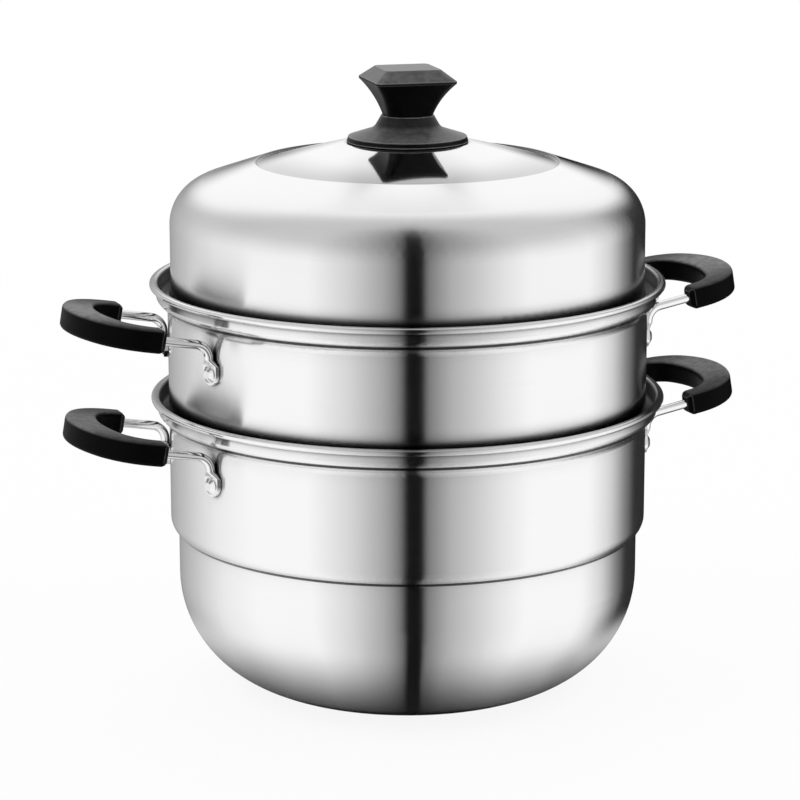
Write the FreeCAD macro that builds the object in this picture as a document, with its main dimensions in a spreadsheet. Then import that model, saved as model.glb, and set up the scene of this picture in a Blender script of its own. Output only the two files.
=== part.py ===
import FreeCAD, Part
import math
import os
import Sketcher

# Two-tier steamer pot: base pot, steaming plate, steaming tier, domed lid with knob, four riveted handles.
# Millimetres, +Z up, handles on X, origin at the centre of the pot's underside.

doc = FreeCAD.newDocument("SteamerPot")
sheet = doc.addObject("Spreadsheet::Sheet", "Sizes")

driving_sizes = {
    # Sheet metal and the gaps left between pieces
    "vessel_sheet": 0.8,
    "lid_sheet": 0.6,
    "seat_gap": 0.3,
    "cut_overrun": 2.0,
    # Wall and rim, alike on the pot and the tier
    "wall_radius": 140.0,
    "flare_width": 6.5,
    "flare_height": 14.2,
    "flare_foot_round": 4.0,
    "flare_top_round": 3.5,
    "band_height": 7.9,
    "bead_width": 4.8,
    "bead_depth": 3.6,
    "bead_lap": 0.15,
    # Base pot
    "pot_rim_height": 173.2,
    "pot_bottom_round": 68.0,
    "step_height": 94.0,
    "step_width": 4.6,
    "step_rise": 3.6,
    "step_round": 9.0,
    "step_foot_round": 0.8,
    # Steaming plate on the step inside the pot
    "plate_sheet": 0.8,
    "plate_lap": 2.0,
    "plate_gap": 0.1,
    "plate_edge_height": 4.0,
    "plate_rim_width": 9.0,
    "plate_dish_depth": 4.0,
    "plate_dish_slope": 5.0,
    "plate_finger_hole": 11.0,
    "plate_hole_radius": 4.5,
    "plate_hole_pitch": 25.0,
    # Steaming tier
    "tier_rim_height": 87.6,
    "tier_bottom_round": 10.0,
    "tier_hole_radius": 4.0,
    "tier_hole_pitch": 26.0,
    # Lid
    "lid_clearance": 1.15,
    "lid_hem_radius": 1.0,
    "lid_hem_gap": 0.8,
    "lid_crown_height": 79.0,
    "lid_crown_slope": 18.5,
    "lid_round": 26.7,
    "lid_foot_round": 1.2,
    "disc_radius": 87.5,
    "disc_drop": 1.6,
    "disc_round_share": 0.45,
    "knob_seat_radius": 37.0,
    "knob_seat_height": 89.9,
    # Knob on the lid
    "knob_height": 42.8,
    "knob_flange_radius": 35.2,
    "knob_flange_edge": 3.4,
    "knob_flange_slope": 0.9,
    "knob_flange_chamfer": 0.5,
    "knob_neck_radius": 15.2,
    "knob_neck_height": 15.6,
    "knob_skirt_radius": 19.4,
    "knob_skirt_height": 8.2,
    "knob_skirt_round": 7.0,
    "knob_turn": -7.5,
    "knob_head_foot_side": 27.0,
    "knob_head_foot_round": 9.0,
    "knob_head_waist_side": 34.3,
    "knob_head_waist_round": 6.2,
    "knob_head_side": 47.6,
    "knob_head_round": 4.0,
    "knob_edge_height": 1.4,
    "knob_top_side": 32.0,
    "knob_top_round": 3.0,
    "knob_facet_height": 6.3,
    # Screw, washer and threaded insert that hold the knob
    "screw_radius": 2.5,
    "screw_length": 16.0,
    "screw_head_radius": 4.8,
    "screw_head_height": 2.8,
    "screw_head_round": 1.4,
    "screw_clearance": 0.2,
    "washer_radius": 7.5,
    "washer_thickness": 1.2,
    "insert_radius": 5.2,
    "insert_length": 18.0,
    # Wire handle frames
    "wire_radius": 2.6,
    "leg_spread": 41.0,
    "handle_tilt": 10.0,
    "bend_radius": 9.0,
    "leg_rise": 0.5,
    "bow_reach": 61.6,
    "bow_radius": 32.0,
    "lug_width": 12.4,
    "lug_thickness": 2.6,
    "lug_gap": 0.1,
    "lug_neck_start": 5.0,
    "lug_neck_length": 3.4,
    "neck_flat": 0.2,
    # Grips moulded on the frames
    "grip_height": 13.6,
    "grip_end_reach": 26.3,
    "grip_end_width": 11.5,
    "grip_outer_reach": 71.5,
    "grip_outer_round": 33.0,
    "grip_outer_sweep": 62.0,
    "grip_inner_reach": 52.2,
    "grip_inner_round": 18.0,
    "grip_inner_sweep": 70.0,
    "grip_edge_round": 2.6,
    "grip_end_chamfer": 2.6,
    "grip_bore_gap": 0.15,
    # Rivets
    "pot_rivet_drop": 33.6,
    "tier_rivet_drop": 36.6,
    "rivet_radius": 2.4,
    "rivet_fit": 0.15,
    "rivet_head_radius": 4.8,
    "rivet_head_height": 2.2,
    "rivet_head_rim": 0.6,
    "rivet_tail_radius": 4.2,
    "rivet_tail_height": 0.9,
    "rivet_tail_gap": 0.1,
}
for row, (name, number) in enumerate(driving_sizes.items(), start=1):
    sheet.set(f"A{row}", name)
    sheet.set(f"B{row}", str(number))
    sheet.setAlias(f"B{row}", name)
doc.recompute()


class Size:
    """A length or angle: its number now, and the formula that ties a feature to the sheet."""

    def __init__(self, number, formula):
        self.number = float(number)
        self.formula = formula

    def __add__(self, other):
        other = as_size(other)
        return Size(self.number + other.number, f"({self.formula} + {other.formula})")

    def __sub__(self, other):
        other = as_size(other)
        return Size(self.number - other.number, f"({self.formula} - {other.formula})")

    def __mul__(self, other):
        other = as_size(other)
        return Size(self.number * other.number, f"({self.formula} * {other.formula})")

    def __truediv__(self, other):
        other = as_size(other)
        return Size(self.number / other.number, f"({self.formula} / {other.formula})")

    def __neg__(self):
        return Size(-self.number, f"(-{self.formula})")


def as_size(value):
    return value if isinstance(value, Size) else Size(value, repr(value))


def root(value):
    return Size(math.sqrt(value.number), f"sqrt({value.formula})")


def sine(angle):
    return Size(math.sin(math.radians(angle.number)), f"sin({angle.formula} * 1 deg)")


def cosine(angle):
    return Size(math.cos(math.radians(angle.number)), f"cos({angle.formula} * 1 deg)")


def tangent(angle):
    return Size(math.tan(math.radians(angle.number)), f"tan({angle.formula} * 1 deg)")


def arc_sine(ratio):
    return Size(math.degrees(math.asin(ratio.number)), f"(asin({ratio.formula}) / 1 deg)")


def sized(name):
    return Size(sheet.get(name), f"Sizes.{name}")


NONE = as_size(0.0)
MATCH = 1e-4


# Sketches and features that every piece uses

def new_body(label):
    body = doc.addObject("PartDesign::Body", label)
    body.Label = label
    return body


def origin_item(body, role):
    return next(item for item in body.Origin.OriginFeatures if item.Role == role)


def new_sketch(body, name, plane, shift=(NONE, NONE, NONE), axis=(0, 0, 1), angle=NONE):
    """A sketch on one of the body's own planes, shifted and turned in that plane's axes."""
    drawing = body.newObject("Sketcher::SketchObject", name)
    drawing.AttachmentSupport = [(origin_item(body, plane), "")]
    drawing.MapMode = "FlatFace"
    base = FreeCAD.Vector(*(part.number for part in shift))
    turn = FreeCAD.Rotation(FreeCAD.Vector(*axis), angle.number)
    drawing.AttachmentOffset = FreeCAD.Placement(base, turn)
    for letter, part in zip("xyz", shift):
        if part is not NONE:
            drawing.setExpression(f"AttachmentOffset.Base.{letter}", part.formula)
    if angle is not NONE:
        drawing.setExpression("AttachmentOffset.Rotation.Angle", angle.formula)
    return drawing


def bind(drawing, kind, *where, value):
    index = drawing.addConstraint(Sketcher.Constraint(kind, *where, value.number))
    drawing.setExpression(f"Constraints[{index}]", value.formula)


def pin_point(drawing, edge, end, x, y):
    """Ties one end of an edge to its two coordinates."""
    for kind, axis, value in (("DistanceX", -2, x), ("DistanceY", -1, y)):
        if value is NONE:
            drawing.addConstraint(Sketcher.Constraint("PointOnObject", edge, end, axis))
        else:
            bind(drawing, kind, -1, 1, edge, end, value=value)


def vector(x, y):
    return FreeCAD.Vector(x.number, y.number, 0)


def draw_outline(drawing, points):
    """A closed outline of straight edges through points that are pairs of sizes."""
    count = len(points)
    for step, start in enumerate(points):
        end = points[(step + 1) % count]
        drawing.addGeometry(Part.LineSegment(vector(*start), vector(*end)))
    for step in range(count):
        drawing.addConstraint(Sketcher.Constraint("Coincident", step, 2, (step + 1) % count, 1))
    for step, point in enumerate(points):
        pin_point(drawing, step, 1, *point)
    return drawing


def draw_circle(drawing, x, y, radius):
    edge = drawing.addGeometry(Part.Circle(vector(x, y), FreeCAD.Vector(0, 0, 1), radius.number))
    pin_point(drawing, edge, 3, x, y)
    bind(drawing, "Radius", edge, value=radius)
    return drawing


def add_arc(drawing, x, y, radius, start, end, slides=False):
    """An arc by its centre, radius and the two angles, in degrees, that it runs between.

    The centre of an arc that slides is tied across only, and what the arc touches sets the rest.
    """
    circle = Part.Circle(vector(x, y), FreeCAD.Vector(0, 0, 1), radius.number)
    arc = Part.ArcOfCircle(circle, math.radians(start), math.radians(end))
    edge = drawing.addGeometry(arc)
    if slides:
        bind(drawing, "DistanceY", -1, 1, edge, 3, value=y)
    else:
        pin_point(drawing, edge, 3, x, y)
    bind(drawing, "Radius", edge, value=radius)
    return edge


def draw_rounded_square(drawing, side, corner):
    """A square about the origin with quarter-round corners."""
    half = side / 2
    inner = half - corner
    signs = ((1, 1), (-1, 1), (-1, -1), (1, -1))
    arcs = []
    for quarter, (along, across) in enumerate(signs):
        start = quarter * 90
        arcs.append(add_arc(drawing, inner * along, inner * across, corner, start, start + 90))
    for here in range(len(arcs)):
        after = (here + 1) % len(arcs)
        start = drawing.getPoint(arcs[here], 2)
        end = drawing.getPoint(arcs[after], 1)
        line = drawing.addGeometry(Part.LineSegment(start, end))
        drawing.addConstraint(Sketcher.Constraint("Tangent", arcs[here], 2, line, 1))
        drawing.addConstraint(Sketcher.Constraint("Tangent", line, 2, arcs[after], 1))
    return drawing


def draw_flat_section(drawing, width, depth, x=NONE, y=NONE, lying=False):
    """A strip section with half-round edges about a point, its width along Y, or along X where it lies."""
    radius = depth / 2
    reach = width / 2 - radius
    if lying:
        first = add_arc(drawing, x + reach, y, radius, -90, 90)
        second = add_arc(drawing, x - reach, y, radius, 90, 270)
    else:
        first = add_arc(drawing, x, y + reach, radius, 0, 180)
        second = add_arc(drawing, x, y - reach, radius, 180, 360)
    for here, after in ((first, second), (second, first)):
        side = drawing.addGeometry(Part.LineSegment(drawing.getPoint(here, 2), drawing.getPoint(after, 1)))
        drawing.addConstraint(Sketcher.Constraint("Tangent", here, 2, side, 1))
        drawing.addConstraint(Sketcher.Constraint("Tangent", side, 2, after, 1))
    return drawing


def add_feature(body, kind, name, **settings):
    """A feature at the body's tip; settings that are sizes are tied to the sheet."""
    feature = body.newObject(f"PartDesign::{kind}", name)
    for key, value in settings.items():
        if isinstance(value, Size):
            setattr(feature, key, value.number)
            feature.setExpression(key, value.formula)
        else:
            setattr(feature, key, value)
    doc.recompute()
    body.Tip = feature
    return feature


def revolve(body, name, drawing, axis="V_Axis", kind="Revolution"):
    return add_feature(
        body, kind, name, Profile=(drawing, [""]), ReferenceAxis=(drawing, [axis]), Angle=360.0)


def cut_through(body, name, drawing):
    before = body.Shape.Volume
    pocket = add_feature(
        body, "Pocket", name, Profile=(drawing, [""]), Type="ThroughAll", SideType="Symmetric")
    if body.Shape.Volume >= before - MATCH:
        raise RuntimeError(f"{body.Label}: {name} cuts nothing")
    return pocket


def mirror(body, name, originals, plane):
    return add_feature(
        body, "Mirrored", name, Originals=originals, MirrorPlane=(origin_item(body, plane), [""]))


def ring_edges(feature, radius, height):
    """Names of the full circles about Z with this radius at this height."""
    names = []
    for number, edge in enumerate(feature.Shape.Edges, start=1):
        curve = edge.Curve
        if not isinstance(curve, Part.Circle):
            continue
        level = abs(curve.Center.z - height.number) < MATCH
        if level and abs(curve.Radius - radius.number) < MATCH and abs(curve.Axis.z) > 1 - MATCH:
            names.append(f"Edge{number}")
    return names


def level_faces(feature, height):
    """Names of the flat faces that lie at this height."""
    names = []
    for number, face in enumerate(feature.Shape.Faces, start=1):
        box = face.BoundBox
        if max(abs(box.ZMin - height.number), abs(box.ZMax - height.number)) < MATCH:
            names.append(f"Face{number}")
    return names


def round_ring(body, name, at, radius):
    """Rounds the circular edge of the tip at a point of the profile."""
    tip = body.Tip
    return add_feature(body, "Fillet", name, Base=(tip, ring_edges(tip, *at)), Radius=radius)


def hollow(body, name, open_height, wall):
    """Shells the tip inwards and leaves the face at one height open."""
    tip = body.Tip
    return add_feature(
        body, "Thickness", name, Base=(tip, level_faces(tip, open_height)), Value=wall, Reversed=True)


def place(body, height, turned=False):
    half_turn = 180.0 if turned else 0.0
    turn = FreeCAD.Rotation(FreeCAD.Vector(0, 0, 1), half_turn)
    body.Placement = FreeCAD.Placement(FreeCAD.Vector(0, 0, height.number), turn)
    body.setExpression("Placement.Base.z", height.formula)
    doc.recompute()


# Sizes that several pieces share, worked out from the driving ones

wall = sized("vessel_sheet")
wall_radius = sized("wall_radius")
wall_inside = wall_radius - wall
flare_width = sized("flare_width")
flare_height = sized("flare_height")
flare_rise = flare_height - sized("band_height")
flare_slope = root(flare_width * flare_width + flare_rise * flare_rise)
flare_foot = sized("flare_foot_round")
flare_foot_run = flare_foot * (flare_slope - flare_rise) / flare_width
band_radius = wall_radius + flare_width
band_inside = band_radius - wall
seat_gap = sized("seat_gap")
overrun = sized("cut_overrun")

# The tier's rounded bottom corner rests on the inner lip of the pot's flare, a seat gap away
pot_rim = sized("pot_rim_height")
lip_height = pot_rim - flare_height - flare_foot_run
tier_round = sized("tier_bottom_round")
nest_across = tier_round + flare_foot
nest_reach = nest_across + wall + seat_gap
tier_height = lip_height + root(nest_reach * nest_reach - nest_across * nest_across) - tier_round
tier_rim = sized("tier_rim_height")

# The lid's hem rests on the slope inside the tier's flare, a seat gap up
hem_radius = sized("lid_hem_radius")
hem_centre_radius = band_inside - hem_radius - sized("lid_hem_gap")
hem_foot_rise = (hem_centre_radius - wall_radius) * flare_rise / flare_width
hem_stand_off = (wall + hem_radius + seat_gap) * flare_slope / flare_width
lid_height = tier_height + tier_rim - flare_height + hem_foot_rise + hem_stand_off - hem_radius
lid_radius = wall_inside - sized("lid_clearance")
seat_height = sized("knob_seat_height")
knob_height = lid_height + seat_height

# The wire legs stand on the wall at the rivets' angle
wire = sized("wire_radius")
leg_spread = sized("leg_spread")
wire_axis = wall_radius + sized("lug_gap") + wire
leg_foot = root(wire_axis * wire_axis - leg_spread * leg_spread)
rivet_angle = arc_sine(leg_spread / wire_axis)
pot_rivets = pot_rim - sized("pot_rivet_drop")
tier_rivets = tier_rim - sized("tier_rivet_drop")
rivet_bore = sized("rivet_radius") + sized("rivet_fit")
handle_tilt = sized("handle_tilt")


# Wall shapes shared by the pot and the tier

def rim_points(rim):
    """Corners of the wall's outside from below the flare up to the rim and in to the axis."""
    return [
        (wall_radius, rim - flare_height),
        (band_radius, rim - sized("band_height")),
        (band_radius, rim),
        (NONE, rim),
    ]


def round_flare(body, rim):
    """Rounds both ends of the slope that carries the wall out to the band under the rim."""
    foot, top = rim_points(rim)[:2]
    round_ring(body, "FlareFoot", foot, flare_foot)
    round_ring(body, "FlareTop", top, sized("flare_top_round"))


def add_bead(body, rim):
    """The bead rolled outwards round the top edge of the band."""
    width = sized("bead_width")
    drawing = new_sketch(body, "BeadSketch", "XZ_Plane")
    middle = band_inside - sized("bead_lap") + width / 2
    draw_flat_section(drawing, width, sized("bead_depth"), middle, rim, lying=True)
    revolve(body, "Bead", drawing)


def cut_rivet_holes(body, height):
    """Two holes through each side of the wall, in line across the vessel."""
    for name, angle in (("RivetHolesA", rivet_angle), ("RivetHolesB", -rivet_angle)):
        drawing = new_sketch(body, f"{name}Sketch", "YZ_Plane", axis=(0, 1, 0), angle=angle)
        draw_circle(drawing, NONE, height, rivet_bore)
        cut_through(body, name, drawing)


def cut_hole_rings(body, hole_radius, pitch, counts):
    """Rings of steam holes about the axis, a pitch apart."""
    for ring, count in enumerate(counts):
        drawing = new_sketch(body, f"HoleSketch{ring}", "XY_Plane")
        draw_circle(drawing, pitch * (ring + first_ring_share), NONE, hole_radius)
        hole = cut_through(body, f"Hole{ring}", drawing)
        add_feature(
            body, "PolarPattern", f"HoleRing{ring}", Originals=[hole],
            Axis=(origin_item(body, "Z_Axis"), [""]), Angle=360.0, Occurrences=count)


# Base pot: drawn from one sheet, stepped in below, with a round bottom edge and a flared rim

step_width = sized("step_width")
step_rise = sized("step_rise")
step_round = sized("step_round")
base_radius = wall_radius - step_width


def make_base_pot():
    body = new_body("base_pot")
    step_foot = (base_radius, sized("step_height"))
    step_top = (wall_radius, sized("step_height") + step_rise)
    profile = new_sketch(body, "WallSketch", "XZ_Plane")
    draw_outline(profile, [
        (NONE, NONE),
        (base_radius, NONE),
        step_foot,
        step_top,
        *rim_points(pot_rim),
    ])
    revolve(body, "Wall", profile)
    round_ring(body, "BottomRound", (base_radius, NONE), sized("pot_bottom_round"))
    round_ring(body, "StepFoot", step_foot, sized("step_foot_round"))
    round_ring(body, "StepTop", step_top, step_round)
    round_flare(body, pot_rim)
    hollow(body, "Inside", pot_rim, wall)
    add_bead(body, pot_rim)
    cut_rivet_holes(body, pot_rivets)
    return body


# Steaming plate: a dished disc with rings of holes, its rim caught on the round of the pot's inner step

plate_hole_counts = (10, 16, 22)
first_ring_share = 1.5


def plate_seat(rim):
    """Height at which a plate's rim meets the inside of the step's round."""
    slope = root(step_width * step_width + step_rise * step_rise)
    round_height = sized("step_height") + step_rise + step_round * (slope - step_rise) / step_width
    inside = step_round - wall
    across = rim - (wall_radius - step_round)
    return round_height - root(inside * inside - across * across)


def make_steam_rack():
    body = new_body("steam_rack")
    thick = sized("plate_sheet")
    rim = base_radius - wall + sized("plate_lap")
    rim_inside = rim - sized("plate_rim_width")
    floor = rim_inside - sized("plate_dish_slope")
    finger = sized("plate_finger_hole")
    dish = sized("plate_dish_depth")
    edge = sized("plate_edge_height")
    profile = new_sketch(body, "PlateSketch", "XZ_Plane")
    draw_outline(profile, [
        (finger, -dish),
        (floor, -dish),
        (rim_inside, NONE),
        (rim, NONE),
        (rim, edge),
        (rim - thick, edge),
        (rim - thick, thick),
        (rim_inside, thick),
        (floor, thick - dish),
        (finger, thick - dish),
    ])
    revolve(body, "Plate", profile)
    cut_hole_rings(body, sized("plate_hole_radius"), sized("plate_hole_pitch"), plate_hole_counts)
    place(body, plate_seat(rim) + sized("plate_gap"))
    return body


# Steaming tier: a straight wall with the pot's rim, and a floor with rings of steam holes

tier_hole_counts = (8, 14, 20)


def make_steamer_tier():
    body = new_body("steamer_tier")
    profile = new_sketch(body, "WallSketch", "XZ_Plane")
    draw_outline(profile, [
        (NONE, NONE),
        (wall_radius, NONE),
        *rim_points(tier_rim),
    ])
    revolve(body, "Wall", profile)
    round_ring(body, "BottomRound", (wall_radius, NONE), tier_round)
    round_flare(body, tier_rim)
    hollow(body, "Inside", tier_rim, wall)
    add_bead(body, tier_rim)
    cut_rivet_holes(body, tier_rivets)
    cut_hole_rings(body, sized("tier_hole_radius"), sized("tier_hole_pitch"), tier_hole_counts)
    place(body, tier_height)
    return body


# Lid: a tall dome with a set-down conical disc in the middle and an outward hemmed lip

def make_lid():
    body = new_body("lid")
    thick = sized("lid_sheet")
    lip_top = hem_radius * 2
    crown = sized("lid_crown_height")
    disc = sized("disc_radius")
    disc_floor = crown - sized("disc_drop")
    disc_round = sized("disc_drop") * sized("disc_round_share")
    corner = crown - (lid_radius - disc) * tangent(sized("lid_crown_slope"))
    seat = sized("knob_seat_radius")
    profile = new_sketch(body, "DomeSketch", "XZ_Plane")
    draw_outline(profile, [
        (NONE, lip_top),
        (lid_radius, lip_top),
        (lid_radius, corner),
        (disc, crown),
        (disc, disc_floor),
        (seat, seat_height),
        (NONE, seat_height),
    ])
    revolve(body, "Dome", profile)
    round_ring(body, "ShoulderRound", (lid_radius, corner), sized("lid_round"))
    round_ring(body, "DiscEdge", (disc, crown), disc_round)
    round_ring(body, "DiscFoot", (disc, disc_floor), disc_round)
    hollow(body, "Inside", lip_top, thick)
    lip = new_sketch(body, "LipSketch", "XZ_Plane")
    draw_outline(lip, [
        (lid_radius - thick, lip_top - thick),
        (hem_centre_radius, lip_top - thick),
        (hem_centre_radius, lip_top),
        (lid_radius - thick, lip_top),
    ])
    revolve(body, "Lip", lip)
    hem = new_sketch(body, "HemSketch", "XZ_Plane")
    draw_circle(hem, hem_centre_radius, hem_radius, hem_radius)
    revolve(body, "Hem", hem)
    round_ring(body, "LipFoot", (lid_radius, lip_top), sized("lid_foot_round"))
    hole = new_sketch(body, "ScrewHoleSketch", "XY_Plane")
    draw_circle(hole, NONE, NONE, sized("screw_radius") + sized("screw_clearance"))
    cut_through(body, "ScrewHole", hole)
    place(body, lid_height)
    return body


# Knob: one moulding, a round skirt that narrows to a neck under a square faceted head

def make_lid_knob():
    body = new_body("lid_knob")
    flange = sized("knob_flange_radius")
    edge = sized("knob_flange_edge")
    chamfer = sized("knob_flange_chamfer")
    skirt = sized("knob_skirt_radius")
    skirt_height = sized("knob_skirt_height")
    neck_height = sized("knob_neck_height")
    profile = new_sketch(body, "SkirtSketch", "XZ_Plane")
    draw_outline(profile, [
        (NONE, NONE),
        (flange - chamfer, NONE),
        (flange, chamfer),
        (flange - sized("knob_flange_slope"), edge),
        (skirt, skirt_height),
        (sized("knob_neck_radius"), neck_height),
        (NONE, neck_height),
    ])
    revolve(body, "Skirt", profile)
    round_ring(body, "SkirtRound", (skirt, skirt_height), sized("knob_skirt_round"))
    top_height = sized("knob_height")
    edge_top = top_height - sized("knob_facet_height")
    edge_foot = edge_top - sized("knob_edge_height")
    waist_height = (neck_height + edge_foot) / 2
    sections = []
    for name, height, size in (
        ("HeadFoot", neck_height, "knob_head_foot"),
        ("HeadWaist", waist_height, "knob_head_waist"),
        ("EdgeFoot", edge_foot, "knob_head"),
        ("EdgeTop", edge_top, "knob_head"),
        ("HeadTop", top_height, "knob_top"),
    ):
        section = new_sketch(
            body, f"{name}Sketch", "XY_Plane", shift=(NONE, NONE, height), angle=sized("knob_turn"))
        draw_rounded_square(section, sized(f"{size}_side"), sized(f"{size}_round"))
        sections.append((section, [""]))
    foot, waist, widest, edge_line, top = sections
    add_feature(body, "AdditiveLoft", "Head", Profile=foot, Sections=[waist, widest])
    add_feature(body, "AdditiveLoft", "Facets", Profile=widest, Sections=[edge_line, top], Ruled=True)
    socket = new_sketch(body, "SocketSketch", "XY_Plane")
    draw_circle(socket, NONE, NONE, sized("insert_radius") + sized("screw_clearance"))
    add_feature(
        body, "Pocket", "InsertSocket", Profile=(socket, [""]), Reversed=True,
        Length=sized("insert_length") + sized("screw_clearance"))
    place(body, knob_height)
    return body


# Threaded insert: a metal bush moulded into the foot of the knob

def make_knob_insert():
    body = new_body("knob_insert")
    drawing = new_sketch(body, "InsertSketch", "XY_Plane")
    draw_circle(drawing, NONE, NONE, sized("insert_radius"))
    draw_circle(drawing, NONE, NONE, sized("screw_radius") + sized("screw_clearance"))
    add_feature(body, "Pad", "Insert", Profile=(drawing, [""]), Length=sized("insert_length"))
    place(body, knob_height)
    return body


# Screw: a pan head under the lid, its shank up through washer and lid into the insert

def make_knob_screw():
    body = new_body("knob_screw")
    shank = sized("screw_radius")
    head = sized("screw_head_radius")
    head_top = -(sized("lid_sheet") + sized("washer_thickness"))
    head_foot = head_top - sized("screw_head_height")
    tip = head_top + sized("screw_length")
    profile = new_sketch(body, "ScrewSketch", "XZ_Plane")
    draw_outline(profile, [
        (NONE, head_foot),
        (head, head_foot),
        (head, head_top),
        (shank, head_top),
        (shank, tip),
        (NONE, tip),
    ])
    revolve(body, "Screw", profile)
    round_ring(body, "HeadRound", (head, head_foot), sized("screw_head_round"))
    place(body, knob_height)
    return body


# Washer: spreads the screw head's pull on the thin lid

def make_knob_washer():
    body = new_body("knob_washer")
    foot = -(sized("lid_sheet") + sized("washer_thickness"))
    drawing = new_sketch(body, "WasherSketch", "XY_Plane", shift=(NONE, NONE, foot))
    draw_circle(drawing, NONE, NONE, sized("washer_radius"))
    draw_circle(drawing, NONE, NONE, sized("screw_radius") + sized("screw_clearance"))
    add_feature(body, "Pad", "Washer", Profile=(drawing, [""]), Length=sized("washer_thickness"))
    place(body, knob_height)
    return body


# Handle frames: one bent wire each, its ends turned down, hammered flat and riveted to the wall.
# Local height zero is the rivets' line, and the legs run out along X, tilted up.

lug_plane = wall_radius + sized("lug_gap")
neck_start = sized("lug_neck_start")
neck_end = neck_start + sized("lug_neck_length")
bend_start = neck_end + sized("leg_rise")
bend = sized("bend_radius")


def draw_leg_path(drawing):
    """Up the wall, round the bend and out along the tilted leg to where the bow begins."""
    arc = add_arc(drawing, leg_foot + bend, bend_start, bend, 90 + handle_tilt.number, 180)
    up = drawing.addGeometry(Part.LineSegment(vector(leg_foot, neck_end), vector(leg_foot, bend_start)))
    pin_point(drawing, up, 1, leg_foot, neck_end)
    drawing.addConstraint(Sketcher.Constraint("Tangent", up, 2, arc, 2))
    out_x, out_z = leg_point(sized("bow_reach") - sized("bow_radius"))
    out = drawing.addGeometry(Part.LineSegment(drawing.getPoint(arc, 1), vector(out_x, out_z)))
    drawing.addConstraint(Sketcher.Constraint("Tangent", arc, 1, out, 1))
    pin_point(drawing, out, 2, out_x, out_z)
    return drawing


def leg_point(reach):
    """X and height of a point on the leg's line, at a reach along it from above the wire's foot."""
    bend_end = leg_foot + bend - bend * sine(handle_tilt)
    bend_top = bend_start + bend * cosine(handle_tilt)
    along = leg_foot + reach * cosine(handle_tilt)
    return along, bend_top + (along - bend_end) * tangent(handle_tilt)


def tilted_sketch(body, name):
    """A sketch in the plane of the tilted legs, its X along them from above the wire's foot."""
    foot_x, foot_z = leg_point(NONE)
    return new_sketch(
        body, name, "XY_Plane", shift=(foot_x, NONE, foot_z), axis=(0, -1, 0), angle=handle_tilt)


def draw_bow_path(drawing, start_reach=None):
    """From one leg round the bow to the other, in the tilted plane."""
    radius = sized("bow_radius")
    reach = sized("bow_reach")
    centre = reach - radius
    side = leg_spread - radius
    far = add_arc(drawing, centre, side, radius, 0, 90)
    near = add_arc(drawing, centre, -side, radius, 270, 360)
    bar = drawing.addGeometry(Part.LineSegment(drawing.getPoint(far, 1), drawing.getPoint(near, 2)))
    drawing.addConstraint(Sketcher.Constraint("Tangent", far, 1, bar, 1))
    drawing.addConstraint(Sketcher.Constraint("Tangent", bar, 2, near, 2))
    for arc, end, across in ((far, 2, leg_spread), (near, 1, -leg_spread)):
        if start_reach is None:
            bind(drawing, "DistanceX", -1, 1, arc, end, value=centre)
        else:
            begin = vector(start_reach, across)
            line = drawing.addGeometry(Part.LineSegment(begin, drawing.getPoint(arc, end)))
            pin_point(drawing, line, 1, start_reach, across)
            drawing.addConstraint(Sketcher.Constraint("Tangent", line, 2, arc, end))
    return drawing


def draw_lug(drawing):
    """The flattened end: straight sides down to a half round about the rivet, which it is holed for."""
    half = sized("lug_width") / 2
    arc = add_arc(drawing, NONE, NONE, half, 180, 360)
    left = drawing.addGeometry(Part.LineSegment(vector(-half, neck_start), vector(-half, NONE)))
    right = drawing.addGeometry(Part.LineSegment(vector(half, NONE), vector(half, neck_start)))
    across = drawing.addGeometry(Part.LineSegment(vector(half, neck_start), vector(-half, neck_start)))
    drawing.addConstraint(Sketcher.Constraint("Tangent", left, 2, arc, 1))
    drawing.addConstraint(Sketcher.Constraint("Tangent", arc, 2, right, 1))
    drawing.addConstraint(Sketcher.Constraint("Coincident", right, 2, across, 1))
    drawing.addConstraint(Sketcher.Constraint("Coincident", across, 2, left, 1))
    drawing.addConstraint(Sketcher.Constraint("Horizontal", across))
    pin_point(drawing, across, 1, half, neck_start)
    return drawing


def polar_shift(radius, angle, height):
    return (radius * cosine(angle), radius * sine(angle), height)


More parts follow.
